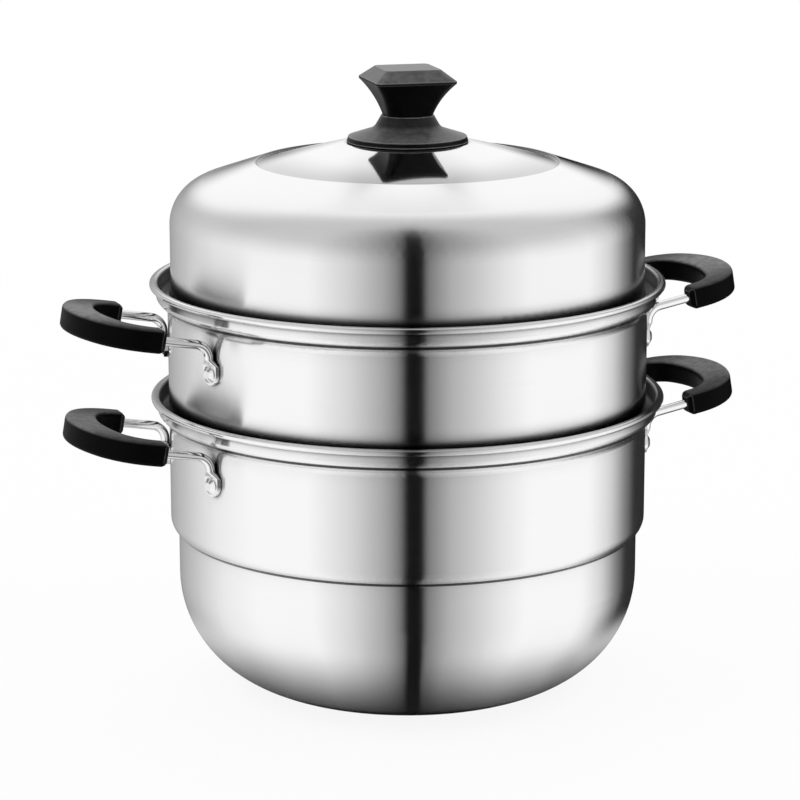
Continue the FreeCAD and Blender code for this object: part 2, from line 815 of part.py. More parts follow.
def make_frame(label, height, turned):
    body = new_body(label)
    thick = sized("lug_thickness")
    lug_shift = (lug_plane * sine(rivet_angle), NONE, lug_plane * cosine(rivet_angle))
    lug = new_sketch(body, "LugSketch", "YZ_Plane", shift=lug_shift, axis=(0, 1, 0), angle=rivet_angle)
    draw_lug(lug)
    pad = add_feature(body, "Pad", "Lug", Profile=(lug, [""]), Length=thick)
    flat_at = polar_shift(lug_plane + thick / 2, rivet_angle, neck_start)
    flat = new_sketch(body, "NeckFlatSketch", "XY_Plane", shift=flat_at, angle=rivet_angle)
    draw_flat_section(flat, sized("lug_width"), thick)
    round_at = polar_shift(wire_axis, rivet_angle, neck_end)
    full = new_sketch(body, "NeckRoundSketch", "XY_Plane", shift=round_at, angle=rivet_angle)
    draw_flat_section(full, wire * 2 + sized("neck_flat"), wire * 2)
    neck = add_feature(
        body, "AdditiveLoft", "Neck", Profile=(flat, [""]), Sections=[(full, [""])], Ruled=True)
    bore = new_sketch(body, "RivetSketch", "YZ_Plane", axis=(0, 1, 0), angle=rivet_angle)
    draw_circle(bore, NONE, NONE, rivet_bore)
    hole = add_feature(
        body, "Pocket", "RivetHole", Profile=(bore, [""]), Reversed=True,
        Length=lug_plane + thick + overrun)
    section_at = (leg_foot, leg_spread, neck_end)
    section = new_sketch(body, "WireSketch", "XY_Plane", shift=section_at)
    draw_circle(section, NONE, NONE, wire)
    path = new_sketch(body, "LegPath", "XZ_Plane", shift=(NONE, NONE, -leg_spread))
    draw_leg_path(path)
    doc.recompute()
    leg = add_feature(body, "AdditivePipe", "Leg", Profile=(section, [""]), Spine=(path, edge_names(path)))
    mirror(body, "OtherLeg", [pad, neck, hole, leg], "XZ_Plane")
    bow = tilted_sketch(body, "BowPath")
    draw_bow_path(bow)
    start = new_sketch(body, "BowSketch", "YZ_Plane", shift=(leg_spread, *bow_start_shift()),
                       axis=(1, 0, 0), angle=-handle_tilt)
    draw_circle(start, NONE, NONE, wire)
    doc.recompute()
    add_feature(body, "AdditivePipe", "Bow", Profile=(start, [""]), Spine=(bow, edge_names(bow)))
    place(body, height, turned)
    return body


def bow_start_shift():
    """Height and X of the leg's end, in the axes of a sketch on the YZ plane."""
    along, height = leg_point(sized("bow_reach") - sized("bow_radius"))
    return height, along


def edge_names(drawing):
    return [f"Edge{number}" for number in range(1, len(drawing.Shape.Edges) + 1)]


# Grips: crescent mouldings on the bows, flat above and below, with rounded edges and chamfered ends

def sweep_joint(apex, sweep, corner, side):
    """Centre of a corner arc that lies along a side line and runs into a shallow arc across the middle."""
    middle = apex - sweep
    across = side - corner
    gap = sweep - corner
    along = middle + root(gap * gap - across * across)
    angle = math.degrees(math.atan2(across.number, along.number - middle.number))
    return middle, along, across, angle


def draw_crescent_side(drawing, apex, sweep, corner, side, end_reach):
    """One side of the crescent from end to end: line, corner, shallow middle arc, corner, line."""
    middle, along, across, angle = sweep_joint(apex, sweep, corner, side)
    belly = add_arc(drawing, middle, NONE, sweep, -angle, angle)
    ends = []
    for sign, arc_angles, belly_end in ((1, (angle, 90), 2), (-1, (270, 360 - angle), 1)):
        bend = add_arc(drawing, along, across * sign, corner, *arc_angles, slides=True)
        bend_inner, bend_outer = (1, 2) if sign > 0 else (2, 1)
        drawing.addConstraint(Sketcher.Constraint("Tangent", belly, belly_end, bend, bend_inner))
        tip = vector(end_reach, side * sign)
        line = drawing.addGeometry(Part.LineSegment(drawing.getPoint(bend, bend_outer), tip))
        drawing.addConstraint(Sketcher.Constraint("Tangent", bend, bend_outer, line, 1))
        pin_point(drawing, line, 2, end_reach, side * sign)
        ends.append(line)
    return ends


def draw_crescent(drawing):
    end = sized("grip_end_reach")
    half = sized("grip_end_width") / 2
    outer = draw_crescent_side(
        drawing, sized("grip_outer_reach"), sized("grip_outer_sweep"), sized("grip_outer_round"),
        leg_spread + half, end)
    inner = draw_crescent_side(
        drawing, sized("grip_inner_reach"), sized("grip_inner_sweep"), sized("grip_inner_round"),
        leg_spread - half, end)
    for outside, inside in zip(outer, inner):
        start = drawing.getPoint(outside, 2)
        finish = drawing.getPoint(inside, 2)
        cap = drawing.addGeometry(Part.LineSegment(start, finish))
        drawing.addConstraint(Sketcher.Constraint("Coincident", outside, 2, cap, 1))
        drawing.addConstraint(Sketcher.Constraint("Coincident", cap, 2, inside, 2))
    return drawing


def flat_face_edges(feature, direction):
    """Names of the edges round the flat faces that look along a direction of the tilted handle."""
    turn = FreeCAD.Rotation(FreeCAD.Vector(0, -1, 0), handle_tilt.number)
    outward = turn.multVec(FreeCAD.Vector(*direction))
    names = []
    for face in feature.Shape.Faces:
        flat = isinstance(face.Surface, Part.Plane)
        if not flat or abs(abs(face.Surface.Axis.dot(outward)) - 1) > MATCH:
            continue
        for number, edge in enumerate(feature.Shape.Edges, start=1):
            if any(edge.isSame(own) for own in face.Edges):
                names.append(f"Edge{number}")
    return names


def make_grip(label, height, turned):
    body = new_body(label)
    plan = tilted_sketch(body, "CrescentSketch")
    draw_crescent(plan)
    pad = add_feature(
        body, "Pad", "Crescent", Profile=(plan, [""]), Length=sized("grip_height"), SideType="Symmetric")
    end_edges = flat_face_edges(pad, (1, 0, 0))
    ends = add_feature(body, "Chamfer", "EndChamfer", Base=(pad, end_edges), Size=sized("grip_end_chamfer"))
    long_edges = flat_face_edges(ends, (0, 0, 1))
    add_feature(body, "Fillet", "EdgeRound", Base=(ends, long_edges), Radius=sized("grip_edge_round"))
    along, start_height = leg_point(sized("grip_end_reach") - overrun)
    path = tilted_sketch(body, "WirePath")
    draw_bow_path(path, sized("grip_end_reach") - overrun)
    section = new_sketch(body, "BoreSketch", "YZ_Plane", shift=(leg_spread, start_height, along),
                         axis=(1, 0, 0), angle=-handle_tilt)
    draw_circle(section, NONE, NONE, wire + sized("grip_bore_gap"))
    doc.recompute()
    before = body.Shape.Volume
    add_feature(
        body, "SubtractivePipe", "WireBore", Profile=(section, [""]), Spine=(path, edge_names(path)))
    if body.Shape.Volume >= before - MATCH:
        raise RuntimeError(f"{label}: the wire bore cuts nothing")
    place(body, height, turned)
    return body


# Rivets: a domed head on the lug, a shank through lug and wall, a low closed head inside

def make_rivets(label, height, turned):
    body = new_body(label)
    shank = sized("rivet_radius")
    head = sized("rivet_head_radius")
    tail = sized("rivet_tail_radius")
    head_foot = lug_plane + sized("lug_thickness")
    rim = head_foot + sized("rivet_head_rim")
    crown = head_foot + sized("rivet_head_height")
    tail_foot = wall_inside - sized("rivet_tail_gap")
    tail_top = tail_foot - sized("rivet_tail_height")
    profile = new_sketch(body, "RivetSketch", "XZ_Plane", axis=(0, 1, 0), angle=rivet_angle)
    draw_outline(profile, [
        (tail_top, NONE),
        (tail_top, tail),
        (tail_foot, tail),
        (tail_foot, shank),
        (head_foot, shank),
        (head_foot, head),
        (rim, head),
        (crown, shank),
        (crown, NONE),
    ])
    rivet = revolve(body, "Rivet", profile, axis="H_Axis")
    mirror(body, "OtherRivet", [rivet], "XZ_Plane")
    place(body, height, turned)
    return body


# The whole pot, put together from the bottom up

pieces = [
    make_base_pot(),
    make_steam_rack(),
    make_steamer_tier(),
    make_lid(),
    make_lid_knob(),
    make_knob_insert(),
    make_knob_screw(),
    make_knob_washer(),
]
for vessel, rivet_height in (("pot", pot_rivets), ("tier", tier_height + tier_rivets)):
    for side, turned in (("right", False), ("left", True)):
        pieces.append(make_frame(f"{vessel}_{side}_frame", rivet_height, turned))
        pieces.append(make_grip(f"{vessel}_{side}_grip", rivet_height, turned))
        pieces.append(make_rivets(f"{vessel}_{side}_rivets", rivet_height, turned))

doc.recompute()
for item in doc.Objects:
    if "Invalid" in item.State or "Error" in item.State:
        raise RuntimeError(f"{item.Label} failed: {item.State}")
for piece in pieces:
    if piece.Shape.isNull() or not piece.Shape.isValid():
        raise RuntimeError(f"{piece.Label} has no valid shape")

os.makedirs("parts", exist_ok=True)
for piece in pieces:
    piece.Shape.exportStep(f"parts/{piece.Label}.step")
    print(piece.Label, len(piece.Shape.Solids), "solids", round(piece.Shape.Volume), "mm3")
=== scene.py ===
import math

import bpy
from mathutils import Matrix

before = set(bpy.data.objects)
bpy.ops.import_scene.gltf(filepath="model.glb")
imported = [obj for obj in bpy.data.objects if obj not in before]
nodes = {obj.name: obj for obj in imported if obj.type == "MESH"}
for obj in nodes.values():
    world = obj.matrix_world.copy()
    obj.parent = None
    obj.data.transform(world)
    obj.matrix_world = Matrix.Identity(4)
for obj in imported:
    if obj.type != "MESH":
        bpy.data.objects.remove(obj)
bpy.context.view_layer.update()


# Base pot and steaming tier: each drawn from one sheet of stainless steel, then spun true and
# buffed on a lathe, so faint lines run round the outside. Inside they are left satin, the rolled
# bead is bright all round, and a dark line of painted shade runs along the sharp corners outside.

class Value:
    """A number that changes over a surface: sums on it add Math nodes."""

    def __init__(self, shading, socket):
        self.shading = shading
        self.socket = socket

    def maths(self, operation, *others):
        return self.shading.node(
            "ShaderNodeMath", {"operation": operation}, dict(enumerate((self, *others))))

    def __add__(self, other):
        return self.maths("ADD", other)

    __radd__ = __add__

    def __mul__(self, other):
        return self.maths("MULTIPLY", other)

    __rmul__ = __mul__

    def __sub__(self, other):
        return self.maths("SUBTRACT", other)

    def __rsub__(self, other):
        return (self * -1) + other

    def __truediv__(self, other):
        return self.maths("DIVIDE", other)

    def __rtruediv__(self, other):
        return self.maths("POWER", -1.0) * other

    def ramp(self, low, high):
        """Runs from 0 at low to 1 at high, eased at both ends."""
        return self.shading.node(
            "ShaderNodeMapRange", {"interpolation_type": "SMOOTHSTEP"},
            {"Value": self, "From Min": low, "From Max": high})


class Shading:
    """The node tree of one material or of the world."""

    def __init__(self, owner):
        owner.use_nodes = True
        self.owner = owner
        self.tree = owner.node_tree
        self.tree.nodes.clear()

    def node(self, kind, settings=None, inputs=None, output=0):
        """Adds a node, sets it up, fills or links its sockets, and gives back one output."""
        made = self.tree.nodes.new(kind)
        for name, setting in (settings or {}).items():
            if name == "stops":
                self.set_stops(made.color_ramp, setting)
            else:
                setattr(made, name, setting)
        for name, value in (inputs or {}).items():
            if isinstance(value, Value):
                self.tree.links.new(value.socket, made.inputs[name])
            else:
                made.inputs[name].default_value = value
        return Value(self, made.outputs[output]) if made.outputs else made

    def set_stops(self, ramp, stops):
        while len(ramp.elements) < len(stops):
            ramp.elements.new(1.0)
        for element, (position, level) in zip(ramp.elements, stops):
            element.position = position
            element.color = grey(level)

    def place(self):
        """X, Y and Z on the object, in metres."""
        where = self.node("ShaderNodeTexCoord", output="Object")
        return [self.node("ShaderNodeSeparateXYZ", inputs={0: where}, output=axis) for axis in "XYZ"]

    def facing(self):
        return self.node("ShaderNodeNewGeometry", output="Normal")

    def vector(self, x, y, z):
        return self.node("ShaderNodeCombineXYZ", inputs={0: x, 1: y, 2: z})

    def vector_maths(self, operation, inputs, output="Vector"):
        return self.node("ShaderNodeVectorMath", {"operation": operation}, inputs, output)

    def dot(self, first, second):
        return self.vector_maths("DOT_PRODUCT", {0: first, 1: second}, "Value")

    def noise(self, vector, scale, detail=2.0, w=None):
        settings = {"noise_dimensions": "3D" if w is None else "4D"}
        inputs = {"Vector": vector, "Scale": scale, "Detail": detail}
        if w is not None:
            inputs["W"] = w
        return self.node("ShaderNodeTexNoise", settings, inputs)

    def openness(self, reach, samples=8):
        """Runs from 0 in a closed gap to 1 where nothing is within reach."""
        return self.node(
            "ShaderNodeAmbientOcclusion", {"samples": samples}, {"Distance": reach}, output="AO")

    def blend(self, share, first, second):
        """A colour between two, by a share from 0 to 1. Sockets 6, 7 and 2 are a Mix's colours."""
        return self.node(
            "ShaderNodeMix", {"data_type": "RGBA"}, {0: share, 6: first, 7: second}, output=2)

    def bump(self, height, strength, distance):
        return self.node(
            "ShaderNodeBump", None, {"Strength": strength, "Distance": distance, "Height": height})

    def surface(self, inputs):
        """Ends the tree in one Principled surface, and gives back its material."""
        shader = self.node("ShaderNodeBsdfPrincipled", None, inputs)
        self.node("ShaderNodeOutputMaterial", None, {"Surface": shader})
        return self.owner


def grey(level):
    return (level, level, level, 1.0)


def dress(material, *names):
    for name in names:
        for slot in nodes[name].material_slots:
            slot.material = material


LINE_PITCH = 0.0007
LINE_TURNS = 2.5
LINE_SHADE = 0.97
LINE_ROUGHNESS = 0.04
LINE_RELIEF = 0.05
LINE_DEPTH = 0.00002
BRUSH_PULL = 1.0
BRUSH_TURN = 0.25
SMEAR_SIZE = 0.05
SMEAR_RANGE = (0.45, 0.75)
SMEAR_ROUGHNESS = 0.02
GAP_REACH = 0.012
GAP_RANGE = (0.45, 0.96)
PAINTED_GAP_SHADE = 0.06


def from_axis(x, y):
    return (x * x + y * y).maths("SQRT")


def lathe_lines(shading, x, y, z, radius):
    """Fine uneven lines round the axis, as a buffing wheel leaves them on spun sheet."""
    around = shading.vector(x / radius * LINE_TURNS, y / radius * LINE_TURNS, z / LINE_PITCH)
    return shading.noise(around, scale=1.0, detail=1.0, w=radius / LINE_PITCH)


def buffed_steel(shading, x, y, z, radius, colour, polish):
    """The lines, roughness and tone of buffed sheet: marked by hands, with painted shade in narrow gaps.
    """
    line = lathe_lines(shading, x, y, z, radius)
    handling = shading.noise(shading.vector(x, y, z), 1 / SMEAR_SIZE, detail=4.0)
    rough = polish + line * LINE_ROUGHNESS + handling.ramp(*SMEAR_RANGE) * SMEAR_ROUGHNESS
    sheet = shading.blend(line, grey(colour * LINE_SHADE), grey(colour))
    # Painted shade: the colour darkens where nearby parts close the surface in
    clear_of_painted_shade = shading.openness(GAP_REACH).ramp(*GAP_RANGE)
    return line, rough, shading.blend(clear_of_painted_shade, grey(colour * PAINTED_GAP_SHADE), sheet)


VESSEL_STEEL = 0.96
VESSEL_POLISH = 0.155
VESSEL_SATIN = 0.30
INSIDE_RANGE = (0.05, 0.3)
OUTSIDE_RANGE = (0.0, 0.2)
RIM_BLEND = (0.1462, 0.1472)
POT_CORNERS = (0.0950, 0.1630)
TIER_CORNERS = (0.2300,)
CORNER_SHADE_BAND = (0.0007, 0.0014)
PAINTED_CORNER_SHADE = 0.05


def vessel_finish(name, corners):
    """Buffed outside, satin inside as far as the rim, with painted shade at the heights of its corners.
    """
    shading = Shading(bpy.data.materials.new(name))
    x, y, z = shading.place()
    radius = from_axis(x, y)
    line, rough, tone = buffed_steel(shading, x, y, z, radius, VESSEL_STEEL, VESSEL_POLISH)
    facing = shading.facing()
    inwards = shading.dot(facing, shading.vector(x / radius * -1, y / radius * -1, 1.0))
    inside = inwards.ramp(*INSIDE_RANGE) * (1 - radius.ramp(*RIM_BLEND))
    outwards = shading.dot(facing, shading.vector(x / radius, y / radius, 0.0))
    # Painted shade: a thin dark line on outward faces at each corner height
    dull = sum((1 - (z - height).maths("ABSOLUTE").ramp(*CORNER_SHADE_BAND) for height in corners), 0.0)
    return shading.surface({
        "Base Color": shading.blend(dull * outwards.ramp(*OUTSIDE_RANGE), tone, grey(PAINTED_CORNER_SHADE)),
        "Metallic": 1.0,
        "Roughness": rough + inside * (VESSEL_SATIN - VESSEL_POLISH),
        "Anisotropic": BRUSH_PULL,
        "Anisotropic Rotation": BRUSH_TURN,
        "Normal": shading.bump(line, LINE_RELIEF, LINE_DEPTH),
    })


dress(vessel_finish("pot_steel", POT_CORNERS), "base_pot")
dress(vessel_finish("tier_steel", TIER_CORNERS), "steamer_tier")


# Steaming plate: a dished disc of the same steel, pierced and pressed in one blow.
# It is never polished, so it keeps a dull rolled face with fine straight rolling lines.

RACK_STEEL = 0.74
RACK_POLISH = 0.28
ROLL_PITCH = 0.0005
ROLL_LENGTH = 0.06
ROLL_SHADE = 0.9
ROLL_ROUGHNESS = 0.14
ROLL_RELIEF = 0.08
ROLL_DEPTH = 0.00002


def rack_finish():
    shading = Shading(bpy.data.materials.new("rack_steel"))
    x, y, z = shading.place()
    along = shading.vector(x / ROLL_LENGTH, y / ROLL_PITCH, z / ROLL_LENGTH)
    rolled = shading.noise(along, scale=1.0)
    return shading.surface({
        "Base Color": shading.blend(rolled, grey(RACK_STEEL * ROLL_SHADE), grey(RACK_STEEL)),
        "Metallic": 1.0,
        "Roughness": RACK_POLISH + rolled * ROLL_ROUGHNESS,
        "Normal": shading.bump(rolled, ROLL_RELIEF, ROLL_DEPTH),
    })


dress(rack_finish(), "steam_rack")


# Lid: one pressed dome of thinner sheet with its lip hemmed under, its wall buffed as the pot's.
# Its middle is a set-down disc that is left almost a mirror. The sheet there swells a little, and
# its colour is painted darker towards the fold round the disc as painted shade, with a dark line at the
# fold.

LID_STEEL = 0.95
LID_POLISH = 0.155
SHOULDER_RADIUS = 0.13
DISC_RADIUS = 0.0872
DISC_BLEND = 0.002
PAINTED_DISC_SHADE = 0.62
DISC_POLISH = 0.035
DISC_LINES = 0.02
DISC_LEVEL = 0.055
DISC_SWELL = 1.7
FOLD_RADIUS = 0.0875
FOLD_SHADE_BAND = (0.0005, 0.0010)
PAINTED_FOLD_SHADE = 0.12


def lid_finish():
    """Buffed wall and mirror disc; the disc's normals lean with the distance from DISC_LEVEL."""
    shading = Shading(bpy.data.materials.new("lid_steel"))
    x, y, z = shading.place()
    radius = from_axis(x, y)
    line, rough, tone = buffed_steel(shading, x, y, z, radius, LID_STEEL, LID_POLISH)
    disc = 1 - radius.ramp(DISC_RADIUS, DISC_RADIUS + DISC_BLEND)
    wall = radius.ramp(DISC_RADIUS, SHOULDER_RADIUS)
    # Painted shade: the disc's colour darkens from DISC_LEVEL out to its rim
    sheet = shading.blend(disc * radius.ramp(DISC_LEVEL, DISC_RADIUS), tone, grey(PAINTED_DISC_SHADE))
    # Painted shade: a thin dark line at the fold round the disc
    fold_shade = 1 - (radius - FOLD_RADIUS).maths("ABSOLUTE").ramp(*FOLD_SHADE_BAND)
    lean = shading.vector_maths("SCALE", {
        0: shading.vector(x / radius, y / radius, 0.0),
        "Scale": (radius - DISC_LEVEL) * disc * DISC_SWELL,
    })
    swelled = shading.vector_maths("ADD", {0: shading.bump(line, LINE_RELIEF, LINE_DEPTH), 1: lean})
    return shading.surface({
        "Base Color": shading.blend(fold_shade, sheet, grey(PAINTED_FOLD_SHADE)),
        "Metallic": 1.0,
        "Roughness": DISC_POLISH + line * DISC_LINES + wall * (rough - DISC_POLISH),
        "Anisotropic": BRUSH_PULL,
        "Anisotropic Rotation": BRUSH_TURN,
        "Normal": shading.vector_maths("NORMALIZE", {0: swelled}),
    })


dress(lid_finish(), "lid")


# Knob: one compression moulding of black thermoset with a round skirt and a square head.
# The tool was polished, so the faces are smooth, with a faint flow mottle in the gloss. Open faces
# that look up are painted paler as painted top light, and upward edges carry a painted highlight.

MOULDING_BLACK = 0.002
GRAIN_SIZE = 0.0004
GRAIN_DEPTH = 0.00004
GRAIN_ROUGHNESS = 0.06
FLOW_SIZE = 0.004
FLOW_RANGE = (0.3, 0.7)
FLOW_ROUGHNESS = 0.06
FLOW_SHARE = 0.35
TOP_LIGHT_RANGE = (0.3, 0.95)
SKY_REACH = 0.03
SKY_RANGE = (0.45, 0.95)
EDGE_WIDTH = 0.0012
EDGE_SAMPLES = 6
EDGE_HIGHLIGHT_TONE = 0.35
EDGE_HIGHLIGHT_RANGE = (0.01, 0.10)
EDGE_HIGHLIGHT_FACING = (-0.3, 0.4)
KNOB_GLOSS = 0.26
KNOB_GRAIN = 0.10
KNOB_SHINE = 0.12
KNOB_TOP_LIGHT = 0.14


def moulded_finish(name, gloss, grain, shine, top_light, lit_middle=None, lit_middle_share=0.0):
    """Moulded black thermoset. gloss is its roughness, grain the depth of its fine skin.

    lit_middle is how far out along Y the painted top light stays full; past it, that
    painted light loses lit_middle_share of its tone.
    """
    shading = Shading(bpy.data.materials.new(name))
    x, y, z = shading.place()
    where = shading.vector(x, y, z)
    skin = shading.noise(where, 1 / GRAIN_SIZE, detail=3.0)
    flow = shading.noise(where, 1 / FLOW_SIZE, detail=5.0).ramp(*FLOW_RANGE)
    facing = shading.facing()
    upward = shading.node("ShaderNodeSeparateXYZ", inputs={0: facing}, output="Z")
    rounded = shading.node("ShaderNodeBevel", {"samples": EDGE_SAMPLES}, {"Radius": EDGE_WIDTH})
    bent = 1 - shading.dot(facing, rounded)
    # Painted highlight: a pale line along bent edges that face upwards
    edge_highlight = bent.ramp(*EDGE_HIGHLIGHT_RANGE) * upward.ramp(*EDGE_HIGHLIGHT_FACING)
    open_sky = shading.openness(SKY_REACH).ramp(*SKY_RANGE)
    # Painted top light: faces that look up and are open to the sky are painted paler, mottled by the
    # flow
    painted_top_light = upward.ramp(*TOP_LIGHT_RANGE) * open_sky * ((1 - FLOW_SHARE) + flow * FLOW_SHARE)
    # Painted light: the middle of the top stays paler than the ends
    if lit_middle:
        painted_top_light = painted_top_light * (1 - y.maths("ABSOLUTE").ramp(*lit_middle) * lit_middle_share)
    face = shading.blend(painted_top_light, grey(MOULDING_BLACK), grey(top_light))
    return shading.surface({
        "Base Color": shading.blend(edge_highlight, face, grey(EDGE_HIGHLIGHT_TONE)),
        "Roughness": gloss + flow * FLOW_ROUGHNESS + skin * GRAIN_ROUGHNESS,
        "Specular IOR Level": shine,
        "Normal": shading.bump(skin, grain, GRAIN_DEPTH),
    })


dress(moulded_finish("knob_moulding", KNOB_GLOSS, KNOB_GRAIN, KNOB_SHINE, KNOB_TOP_LIGHT), "lid_knob")


# Knob fixings: a turned brass bush in the knob's foot, a pan-head screw up through the lid,
# and a plain washer that spreads its pull. They show only from under the lid.

FIXING_STEEL = 0.66
FIXING_SHADE = 0.8
FIXING_POLISH = 0.22
INSERT_BRASS = (0.72, 0.53, 0.26, 1.0)
INSERT_BRASS_DULL = (0.55, 0.40, 0.20, 1.0)
INSERT_POLISH = 0.24
CUT_PITCH = 0.0003
CUT_ROUGHNESS = 0.12
CUT_RELIEF = 0.15
CUT_DEPTH = 0.00003


def turned_finish(name, bright, dull, polish):
    shading = Shading(bpy.data.materials.new(name))
    x, y, z = shading.place()
    across = shading.vector(from_axis(x, y) / CUT_PITCH, z / CUT_PITCH, 0.0)
    cut = shading.noise(across, scale=1.0)
    return shading.surface({
        "Base Color": shading.blend(cut, dull, bright),
        "Metallic": 1.0,
        "Roughness": polish + cut * CUT_ROUGHNESS,
        "Normal": shading.bump(cut, CUT_RELIEF, CUT_DEPTH),
    })


fixing_dull = grey(FIXING_STEEL * FIXING_SHADE)
dress(turned_finish("fixing_steel", grey(FIXING_STEEL), fixing_dull, FIXING_POLISH),
      "knob_screw", "knob_washer")
dress(turned_finish("insert_brass", INSERT_BRASS, INSERT_BRASS_DULL, INSERT_POLISH), "knob_insert")


# Handle frames: drawn steel wire bent into a bow, with both ends hammered flat into lugs.
# The wire is bright drawn, with small ripples where it was bent and struck.

SIDES = [f"{vessel}_{side}" for vessel in ("pot", "tier") for side in ("right", "left")]
WIRE_STEEL = 0.96
WIRE_POLISH = 0.06
WIRE_DENTS = 0.04
DENT_SIZE = 0.004
DENT_DEPTH = 0.0002
SCRATCH_SIZE = 0.0006
SCRATCH_SHADE = 0.93
SCRATCH_ROUGHNESS = 0.08


def wire_finish(name, colour, polish, dents):
    shading = Shading(bpy.data.materials.new(name))
    where = shading.vector(*shading.place())
    scratch = shading.noise(where, 1 / SCRATCH_SIZE, detail=2.0)
    dent = shading.noise(where, 1 / DENT_SIZE, detail=1.0)
    return shading.surface({
        "Base Color": shading.blend(scratch, grey(colour * SCRATCH_SHADE), grey(colour)),
        "Metallic": 1.0,
        "Roughness": polish + scratch * SCRATCH_ROUGHNESS,
        "Normal": shading.bump(dent, dents, DENT_DEPTH),
    })


dress(wire_finish("wire_steel", WIRE_STEEL, WIRE_POLISH, WIRE_DENTS),
      *(f"{side}_frame" for side in SIDES))


# Grips: black thermoset crescents moulded round the bows, with chamfered ends.
# Their tool was vapour blasted, so the skin is satin. The top is painted paler as painted top light,
# more in the middle than at the ends.

GRIP_GLOSS = 0.34
GRIP_GRAIN = 0.22
GRIP_SHINE = 0.03
# The tone of the grips' painted top light, and how far it fades past the middle
GRIP_TOP_LIGHT = 0.26
LIT_MIDDLE_RANGE = (0.008, 0.044)
LIT_MIDDLE_SHARE = 0.7

dress(moulded_finish("grip_moulding", GRIP_GLOSS, GRIP_GRAIN, GRIP_SHINE, GRIP_TOP_LIGHT,
                     lit_middle=LIT_MIDDLE_RANGE, lit_middle_share=LIT_MIDDLE_SHARE),
      *(f"{side}_grip" for side in SIDES))


# Rivets: soft steel, set cold through lug and wall, the domed head outside.
# The set leaves the head bright with faint tool marks.

RIVET_STEEL = 0.95
RIVET_POLISH = 0.20
RIVET_DENTS = 0.01

dress(wire_finish("rivet_steel", RIVET_STEEL, RIVET_POLISH, RIVET_DENTS),
      *(f"{side}_rivets" for side in SIDES))


# Studio floor and surround: a white sweep that takes the pot's soft shadow and fades out
# into a white surround. The surround lights matt pieces a little less than metal sees it.

FLOOR_SIZE = 6.0
FLOOR_DROP = 0.0002
FLOOR_WHITE = 0.95
FLOOR_GLOW = 0.90
FADE_RANGE = (0.75, 1.6)
AMBIENT = 0.55
WHITE = grey(1.0)

bpy.ops.object.select_all(action="DESELECT")
bpy.ops.mesh.primitive_plane_add(size=FLOOR_SIZE, location=(0, 0, -FLOOR_DROP))
floor = bpy.context.object
floor.name = "studio_floor"
shading = Shading(bpy.data.materials.new("studio_floor"))
x, y, _ = shading.place()
away = from_axis(x, y).ramp(*FADE_RANGE)
paper = shading.node("ShaderNodeBsdfDiffuse", None, {"Color": grey(FLOOR_WHITE)})
glow = shading.node("ShaderNodeEmission", None, {"Color": WHITE, "Strength": 1.0})
lit = shading.node("ShaderNodeMixShader", None, {0: FLOOR_GLOW, 1: paper, 2: glow})
clear = shading.node("ShaderNodeBsdfTransparent")
faded = shading.node("ShaderNodeMixShader", None, {0: away, 1: lit, 2: clear})
shading.node("ShaderNodeOutputMaterial", None, {"Surface": faded})
floor.data.materials.append(shading.owner)

world = bpy.data.worlds.new("studio_surround")
bpy.context.scene.world = world
shading = Shading(world)
seen = sum(
    (shading.node("ShaderNodeLightPath", output=ray)
     for ray in ("Is Camera Ray", "Is Glossy Ray", "Is Transmission Ray")), 0.0)
strength = AMBIENT + seen.maths("MINIMUM", 1.0) * (1.0 - AMBIENT)
surround = shading.node("ShaderNodeBackground", None, {"Color": WHITE, "Strength": strength})
shading.node("ShaderNodeOutputWorld", None, {"Surface": surround})


# Studio cards: a tent of graded grey round the pot that only polished metal sees.
# It gives the steel its dark front stripe, its dim edges and the soft grey over the shoulder.

VIEW_TURN = math.radians(-22.5)
CARD_PROFILE = (
    (0.085, 0.0006), (0.50, 0.0006), (0.50, 0.55), (0.43, 0.80), (0.25, 0.98), (0.01, 1.04))
CARD_STEPS = 96
WALL_RADIUS = 0.14
BOUNCES = 5
LID_LEVEL = 0.27
# Angle round the pot, in degrees from the viewer, and how dark the card is there
CARD_STOPS = (
    (-180, 0.75), (-134, 0.43), (-104, 0.11), (-80, 0.0), (-48, 0.0), (-28, 0.27), (-11, 0.59),
    (-6, 0.73), (-3, 0.84), (-0.5, 1.0), (7, 1.0), (9.5, 0.80), (14, 0.70), (21, 0.53), (31, 0.39),
    (46, 0.16), (60, 0.0), (97, 0.0), (113, 0.28), (127, 0.74), (140, 0.97), (180, 0.98),
)
# How far round to the back, as a cosine, the stripes give way to one plain grey
BACK_TURN = (-0.995, -0.965)
BACK_SHADE = 0.30
# The climb at which the stripes begin and cease to fade: degrees over the axis, and for each metre
# that a card stands towards the viewer
FADE_BEGINS = (28, 52)
FADE_CEASES = (62, 92)
# The floor of the tent, by height: dark under the pot as painted shade that the steel reflects,
# and without stripes beside and behind it
FLOOR_LEVEL = (0.001, 0.003)
UNDER_SHADE_REACH = (0.080, 0.195)
BESIDE_REACH = (0.13, 0.20)
BESIDE_TURN = (0.3, 0.8)
# Two greys over the lid, by climb in degrees, metres towards the viewer and how far aside
CANOPY_CLIMB = (-12, 32)
CANOPY_FORWARD = (-0.38, 0.05)
CANOPY_SHADE = 0.42
BEHIND_RISE = (30, 51)
BEHIND_FALL = (51.2, 53.2)
BEHIND_FORWARD = (-0.3, -0.1)
BEHIND_ASIDE = (0.18, 0.34)
BEHIND_SHADE = 0.28


